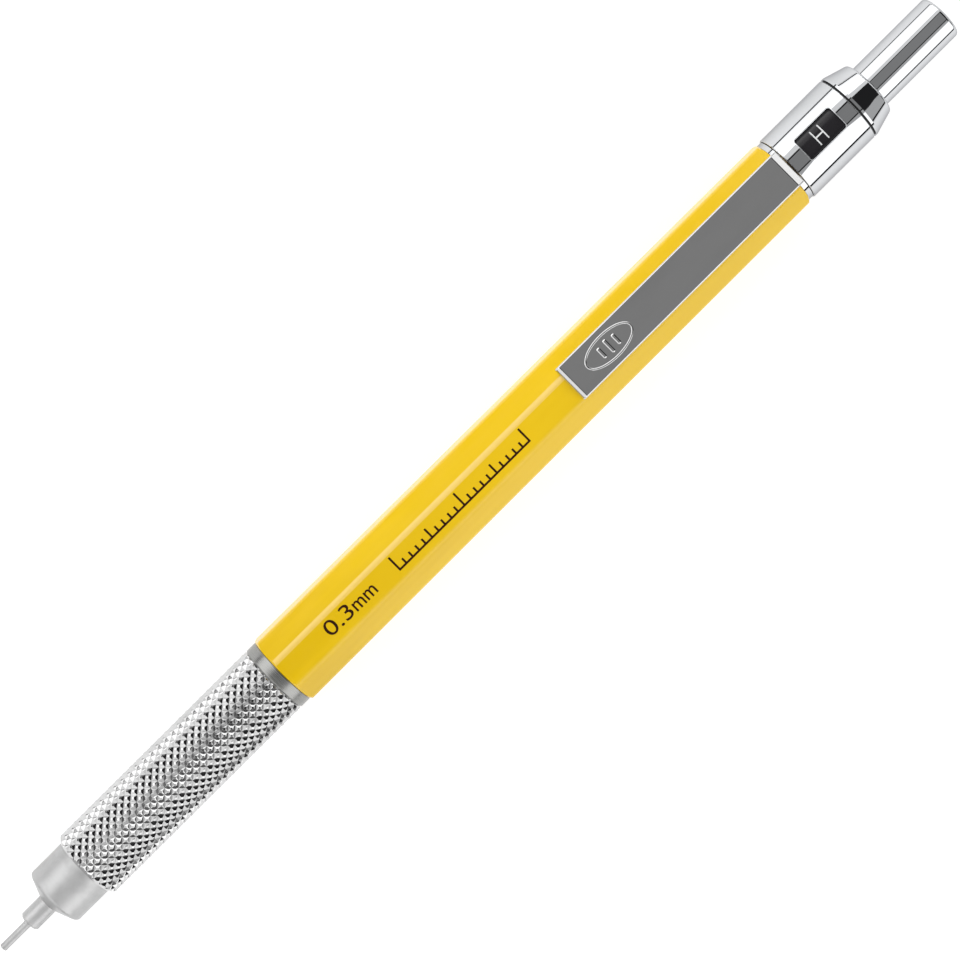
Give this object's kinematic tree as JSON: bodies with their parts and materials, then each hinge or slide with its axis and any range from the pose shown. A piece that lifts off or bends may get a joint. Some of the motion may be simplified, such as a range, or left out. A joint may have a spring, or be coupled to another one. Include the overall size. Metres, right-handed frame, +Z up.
{
  "type": "mechanical pencil",
  "caption": "Drafting mechanical pencil with a knurled metal grip, an eight-sided tapering barrel, a pocket clip, a lead-grade window and a push button over an eraser",
  "frame": {"origin": "on the table under the middle of the pencil's box, the pencil lying on one barrel flat", "axes": "+X along the pencil from the writing tip to the push button, +Z up; the clip's face looks up, turned 8 degrees about X towards +Y"},
  "size_m": [0.1468, 0.0088, 0.011],
  "materials": {
    "sleeve_steel": "drawn tube",
    "nose_metal": "satin",
    "retainer_rubber": "matte",
    "grip_metal": "knurled, satin",
    "brass": "machined",
    "spring_steel": "drawn wire",
    "inner_plastic": "moulded",
    "graphite": "matte",
    "tube_plastic": "moulded",
    "ferrule_metal": "satin",
    "eraser_rubber": "soft",
    "chrome": "polished",
    "barrel_paint": "gloss",
    "drum_black": "gloss",
    "washer_black": "matte",
    "clip_metal": "polished, fine grained"
  },
  "bodies": {
    "holder": {"barrel": "barrel_paint", "grip": "grip_metal", "nose": "nose_metal", "lead_sleeve": "sleeve_steel", "lead_retainer": "retainer_rubber", "clutch_housing": "brass", "clutch_spring": "spring_steel", "rear_bush": "brass", "clip_band": "chrome", "window_sleeve": "chrome", "friction_washer": "washer_black", "drum_spring_ring": "spring_steel"},
    "plunger": {"chuck": "brass", "connector": "inner_plastic", "lead_tube": "tube_plastic", "eraser_ferrule": "ferrule_metal", "spare_lead_1": "graphite", "spare_lead_2": "graphite", "spare_lead_3": "graphite"},
    "cap": {"push_button": "chrome"},
    "eraser_unit": {"eraser": "eraser_rubber", "clearing_needle": "spring_steel"},
    "ring": {"clutch_ring": "brass"},
    "feed_lead": {"lead": "graphite"},
    "grade_dial": {"grade_drum": "drum_black", "end_cone": "chrome"},
    "clip": {"clip_arm": "clip_metal"}
  },
  "joints": [
    {"name": "button_push", "type": "slide", "parent": "holder", "child": "plunger", "axis": [-1, 0, 0], "range_m": [0, 0.003], "stiffness_N_per_m": 515, "springref_m": -0.003, "deforming": ["clutch_spring"]},
    {"name": "ring_slide", "type": "slide", "parent": "holder", "child": "ring", "axis": [-1, 0, 0], "range_m": [0, 0.0009]},
    {"name": "lead_feed", "type": "slide", "parent": "holder", "child": "feed_lead", "axis": [-1, 0, 0], "range_m": [0, 0.0006]},
    {"name": "cap_pull", "type": "slide", "parent": "plunger", "child": "cap", "axis": [1, 0, 0], "range_m": [0, 0.0164]},
    {"name": "eraser_pull", "type": "slide", "parent": "plunger", "child": "eraser_unit", "axis": [1, 0, 0], "range_m": [0, 0.0082]},
    {"name": "grade_turn", "type": "hinge", "parent": "holder", "child": "grade_dial", "pos_m": [0.0542, 0, 0.00439], "axis": [1, 0, 0], "continuous": true},
    {"name": "clip_flex", "type": "hinge", "parent": "holder", "child": "clip", "pos_m": [0.04875, 0.00056, 0.00835], "axis": [0, 0.9903, -0.1392], "range_deg": [0, 5], "stiffness_Nm_per_rad": 2.8, "springref_deg": -1.15}
  ],
  "couplings": [
    {"joint": "ring_slide", "follows": "button_push", "ratio": 0.3},
    {"joint": "lead_feed", "follows": "button_push", "ratio": 0.2},
    {"joint": "eraser_pull", "follows": "cap_pull", "ratio": 0.5}
  ]
}
